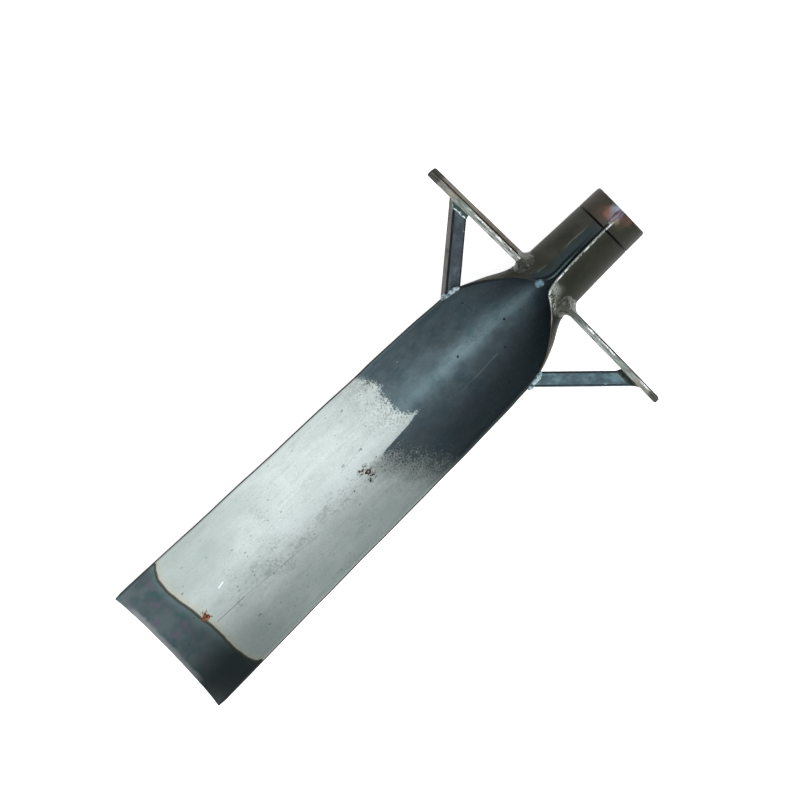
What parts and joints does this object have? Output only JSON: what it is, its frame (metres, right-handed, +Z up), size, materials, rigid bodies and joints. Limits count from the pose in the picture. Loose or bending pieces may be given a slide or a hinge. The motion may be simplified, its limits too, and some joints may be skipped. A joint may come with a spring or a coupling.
{
  "type": "digging spade head",
  "caption": "Long gouge-shaped digging spade head: one rolled sheet forms a hollow blade and a split handle socket, with braced foot steps welded on both sides.",
  "frame": {"origin": "under the middle of the head, on the surface that it lies on", "axes": "+X from the cutting tip to the socket's mouth, +Z up out of the hollow; the left side, +Y, is the left for a person who faces the hollow with the socket uppermost"},
  "size_m": [0.5, 0.2541, 0.0545],
  "materials": {
    "rolled_sheet": "bare hot-rolled sheet: bright grey where the mill scale is gone, blue-black scale over the neck and the tip, dull brown-grey outside",
    "step_bar": "flat bar with worn bright edges over dull grey scale",
    "brace_bar": "square bar in blue-black mill scale",
    "weld_metal": "rippled weld beads with a bluish heat tint"
  },
  "bodies": {
    "root": {"blade_and_socket": "rolled_sheet", "left_foot_step": "step_bar", "right_foot_step": "step_bar", "left_brace": "brace_bar", "right_brace": "brace_bar", "left_brace_blade_weld": "weld_metal", "left_brace_step_weld": "weld_metal", "left_step_lower_weld": "weld_metal", "left_step_upper_weld": "weld_metal", "right_brace_blade_weld": "weld_metal", "right_brace_step_weld": "weld_metal", "right_step_lower_weld": "weld_metal", "right_step_upper_weld": "weld_metal", "socket_seam_weld": "weld_metal"}
  },
  "joints": []
}
